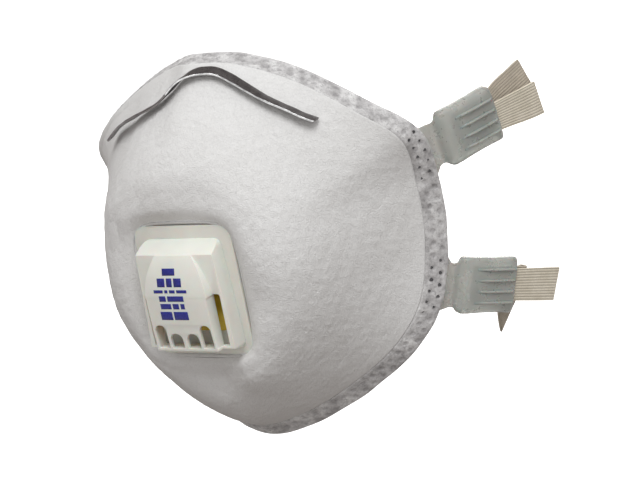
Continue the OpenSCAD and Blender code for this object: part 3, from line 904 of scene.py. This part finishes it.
def make_print():
    """Plain printed bars on the shield, with nothing lettered."""
    gap, middle = 0.7, -1.7
    lines = ((9.3, 2.2, (5.0,)), (5.9, 2.8, (3.0, 2.2, 3.0)), (3.0, 1.0, (3.6, 1.2, 2.2, 4.0)),
             (0.6, 1.8, (2.6, 6.4)), (-2.0, 1.8, (4.2, 2.4, 1.6)), (-5.2, 2.8, (4.6, 5.6)))
    points, faces = [], []
    for z0, height, widths in lines:
        x0 = middle - (sum(widths) + gap * (len(widths) - 1)) / 2
        for width in widths:
            printed_bar(x0, width, z0, height, points, faces)
            x0 += width + gap
    bars = outward(make("printed_bars", points, faces, "mask"))
    dress(bars, "blue_print")


# ---------------------------------------------------------------- buckles, straps and welds
def buckle_axes(k, side):
    """Origin on the bending line, and the axes along, across and out of the buckle's face."""
    u = STRAP_U[k]
    along = unit(np.array(STRAP_DIR[side][k]))
    t = -rim_tangent(u)
    across = unit(t - (t @ along) * along)
    face = np.cross(along, across)
    at = rim(u) + HINGE_OUT * along - (RIM_T + TAB_GAP + TAB_T / 2) * flange_normal(u)
    return at, along, across, face


def placed(k, side, points):
    """Points of a buckle's frame in the part's frame."""
    at, along, across, face = buckle_axes(k, side)
    p = np.asarray(points, float)
    out = at + col(p[..., 0]) * along + col(p[..., 1]) * across + col(p[..., 2]) * face
    return out * np.array([side, 1, 1])


def tab_row(k, side, s, half, thick, c, h):
    """A section of the tab behind the flange, s mm in from the rim's edge."""
    u = STRAP_U[k] - c * half
    p = rim(u) + s * flange_dir(u) + col(-RIM_T - TAB_GAP - TAB_T / 2 + h * thick / 2) * flange_normal(u)
    return p * np.array([side, 1, 1])


# Sections of a buckle: (distance in from the rim's edge, share of the full size) along its tab,
# then (x, half width, half thickness) along its neck and back in through its mouth.
TAB = ((6.6, 0.80), (6.5, 0.93), (6.2, 1.0), (4.5, 1.0), (2.5, 1.0), (0.6, 1.0), (-0.6, 0.97))
NECK = ((-1.1, 7.75, 0.5), (-0.5, 7.55, 0.42), (0.0, 7.5, 0.36), (0.5, 7.55, 0.42), (1.2, 7.7, 0.6),
        (1.9, 8.2, 1.0), (2.5, 8.9, 1.7), (3.1, 9.4, 2.35), (3.8, 9.68, 2.75), (4.8, 9.75, 2.95))
HOLLOW = ((MOUTH_X - 0.1, 6.9, 2.25), (MOUTH_X - 0.6, 6.5, 2.12), (18, 6.4, 2.1), (13, 6.4, 2.1),
          (8.4, 6.4, 2.1), (8.0, 6.1, 1.8))


def make_buckle(k, side, name):
    """One soft moulding: welded tab, thin bending neck, and a sleeve that is open at its mouth."""
    c, h = superellipse(56, 4.5)
    round_r = 1.2
    rows = [tab_row(k, side, s, 0.46 * (0.96 + 0.04 * share), TAB_T * share, c, h) for s, share in TAB]

    def section(x, half_w, half_t, bow=0.0):
        thick = half_t + bow * np.cos(c * pi / 2)
        rows.append(placed(k, side, np.stack([np.full_like(c, x), c * half_w, h * thick], -1)))

    for station in NECK:
        section(*station)
    for x in np.linspace(6.5, MOUTH_X - round_r, 12):
        waist = 0.22 * sin((x - 6.5) / 15 * pi)
        section(x, SLEEVE_HALF_W - waist, SLEEVE_HALF_T - 0.4 * waist, 0.1)
    for a in np.linspace(0.25, 1, 5) * pi / 2:
        fall = 1 - cos(a)
        section(MOUTH_X - round_r + round_r * sin(a), SLEEVE_HALF_W - 0.7 * fall, SLEEVE_HALF_T - 0.6 * fall)
    for station in HOLLOW:
        section(*station)
    body = loft(f"{name}_moulding", rows, smooth_angle=60)
    join(body, grip_ribs(k, side, f"{name}_ribs"))
    outward(body)
    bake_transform(body)
    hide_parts(f"{name}_tab", f"{name}_buckle")
    dress(body, "soft_buckle")


def grip_ribs(k, side, name):
    """Four low ribs along the outer half of the sleeve's face, fading out towards the neck."""
    points, faces = [], []
    across = np.linspace(-1, 1, 9)
    count, foot, half_w = len(across), 2.75, 0.6
    xs = np.linspace(BAR_X - 2.4, MOUTH_X - 0.5, 26)
    for y0 in (-5.7, -1.9, 1.9, 5.7):
        rows = []
        for x in xs:
            rise = smooth(xs[0], xs[0] + 6, x) * smooth(xs[-1] + 0.01, xs[-1] - 1.0, x)
            z = foot + (0.3 + 0.85 * rise) * np.sqrt(np.clip(1 - across**2, 0, 1))
            rows.append(np.stack([np.full(count, x), y0 + across * half_w, z], -1))
        start = len(points)
        points += list(placed(k, side, np.array(rows)).reshape(-1, 3))
        faces += grid_faces(len(xs), count, start=start)
        for row in (0, len(xs) - 1):
            faces.append(tuple(start + row * count + j for j in range(count)))
    return make(name, points, faces)


def join(target, other):
    """Adds the other mesh to the target."""
    pair = [target, other]
    for obj in pair:
        obj.select_set(True)
    bpy.context.view_layer.objects.active = target
    with bpy.context.temp_override(active_object=target, object=target, selected_objects=pair,
                                   selected_editable_objects=pair):
        bpy.ops.object.join()


def webbing_section():
    """Ribbed elastic: twelve cords side by side, the edge ones a little thicker."""
    y = np.linspace(-1, 1, 97)
    ridge = 0.5 * STRAP_T * (0.72 + 0.28 * abs(np.cos(y * pi * 6)))
    ridge[[0, -1]] = 0.1
    y = np.concatenate([y, y[::-1][1:-1]]) * STRAP_W / 2
    z = np.concatenate([ridge, -ridge[::-1][1:-1]])
    return y, z


def mark_grooves(strap):
    """Marks the furrows between the strap's cords, for its material to darken them as painted shade."""
    y, _ = webbing_section()
    values = np.resize(smooth(0.35, 0.05, abs(np.cos(y / STRAP_W * 12 * pi))), len(strap.data.vertices))
    values[-2:] = 0
    mark_points(strap, "painted_furrow_shade", values)


def strap_rows(k, side, line, phase):
    """Sections of a strap along (x, y, z, turn, width share) stations of the buckle's frame."""
    y, z = webbing_section()
    rows = []
    for x, y0, z0, turn, share in line:
        knit = 1 + 0.06 * np.sin(x * 9.0 + phase)
        section = [x - y * share * sin(turn), y0 + y * share * cos(turn), z0 + z * knit]
        rows.append(placed(k, side, np.stack(section, -1)))
    return rows


def front_line(k):
    """The stations of a front strap, from its bar to its cut end."""
    end = MOUTH_X + STRAP_OUT
    line = []
    for x in np.linspace(STRAP_START, end, 46):
        out = smooth(MOUTH_X - 4, end, x)
        if k == 0:
            line.append((x, -1.5 - 1.3 * out, STRAP_MID + 0.5 * out, 0.02 * out, 0.82 + 0.18 * out))
        else:
            line.append((x, 0.0, STRAP_MID + 0.2 * out, -0.08 * out**3, 0.93 + 0.05 * out))
    return line


def rear_line(k):
    """The stations of a rear strap: the upper one fans out, the lower one runs to its fold."""
    if k == 1:
        return [(x, 0.0, -STRAP_MID, 0.0, 0.95) for x in np.linspace(STRAP_START, FOLD_X, 22)]
    fan, reach, aside = radians(13), STRAP_OUT + STRAP_T + 0.6, 1.2
    inside = MOUTH_X - 1.5
    line = []
    for x in np.linspace(STRAP_START, inside, 16):
        line.append((x, aside * smooth(BAR_X, MOUTH_X, x), -STRAP_MID, 0.0, 0.8))
    for f in np.linspace(0.04, 1, 30):
        turn, share = fan * smooth(0, 0.12, f), 0.8 + 0.2 * smooth(0, 0.45, f)
        line.append((inside + f * reach, aside + f * reach * sin(fan), -STRAP_MID - 0.6 * f, turn, share))
    return line


def folded_rows(k, side):
    """The lower tail's fold: it turns back behind the buckle and hangs, cut to a slanting point."""
    y, z = webbing_section()
    radius, half = 1.15, 5.7
    rows = []
    for a in np.linspace(0.15, 1, 8) * pi:
        out = FOLD_X + radius * sin(a) + z * sin(a)
        back = -STRAP_MID - radius * (1 - cos(a)) + z * cos(a)
        rows.append(placed(k, side, np.stack([out, y * 0.95, back], -1)))
    depth = -STRAP_MID - 2 * radius
    share = col(y / STRAP_W + 0.5)
    foot, top = np.array([FOLD_X, -half]), np.array([FOLD_X, half])
    bend, tip = np.array([FOLD_X - 12, 0]), np.array([FOLD_X - 4.6, -18.2])
    for f in np.linspace(0.04, 0.985, 28):
        low = (1 - f) * foot + f * tip
        high = (1 - f) ** 2 * top + 2 * f * (1 - f) * bend + f * f * tip
        p = low + share * (high - low)
        rows.append(placed(k, side, np.stack([p[:, 0], p[:, 1], depth - z * 0.9 - 0.3 * f], -1)))
    return rows


def make_straps(k, side, name):
    """Both ends of one elastic strap. Where they slide in the buckle they start inside its sleeve, at the
    bar.
    """
    front = strap_rows(k, side, front_line(k), 1.0)
    rear = strap_rows(k, side, rear_line(k), 2.0)
    if k == 1:
        rear += folded_rows(k, side)
    # The rear ends take the darker copy of the webbing, which is painted shade.
    for end, rows, material in (("front", front, "webbing"), ("rear", rear, "webbing_painted_shade")):
        piece = outward(loft(f"{name}_{end}_webbing", rows, smooth_angle=60))
        mark_grooves(piece)
        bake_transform(piece)
        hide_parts(f"{name}_{end}_strap")
        dress(piece, material)


def add_pin(u, row, side, points, faces):
    """Adds one bead: a skirt sunk in the flange under a low, uneven dome."""
    sides, rings = 14, 4
    d, n = flange_dir(u), flange_normal(u)
    y = np.cross(n, d)
    at = rim(u) + (2.6 + 3.2 * row + rng.uniform(-0.25, 0.25)) * d
    r = rng.uniform(0.45, 0.72)
    start = len(points)
    for j in range(rings):
        a = j / rings * pi / 2
        h = 0.02 + 0.22 * sin(a) if j else -RIM_T
        for s in range(sides):
            b = 2 * pi * s / sides
            ring = r * cos(a) * (1 + 0.15 * sin(3 * b + 9 * r))
            points.append((at + ring * (cos(b) * d + sin(b) * y) + h * n) * np.array([side, 1, 1]))
    faces += grid_faces(rings, sides, start=start)
    for j in (0, rings - 1):
        faces.append(tuple(start + j * sides + s for s in range(sides)))


def make_pins():
    """Melted pins: dark beads of uneven size, in two staggered rows at each buckle's tab."""
    points, faces = [], []
    for side in (1, -1):
        for k in (0, 1):
            for row in (0, 1):
                for i in range(-2, 3):
                    add_pin(STRAP_U[k] + 0.2 * (i + row / 2 - 0.25), row, side, points, faces)
    pins = outward(make("melted_pins", points, faces, "mask"))
    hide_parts("tab_weld_pins")
    dress(pins, "weld_pin")


# ---------------------------------------------------------------- build
make_camera()
make_stage()
make_cup()
make_rim()
make_clip()
make_foam()
make_valve()
make_pins()
for side_name, side in SIDES.items():
    for k, height in enumerate(HEIGHTS):
        piece_name = f"{height}_{side_name}"
        make_buckle(k, side, piece_name)
        make_straps(k, side, piece_name)
        dress(frame["nodes"][f"{piece_name}_strap_loop"], "webbing")
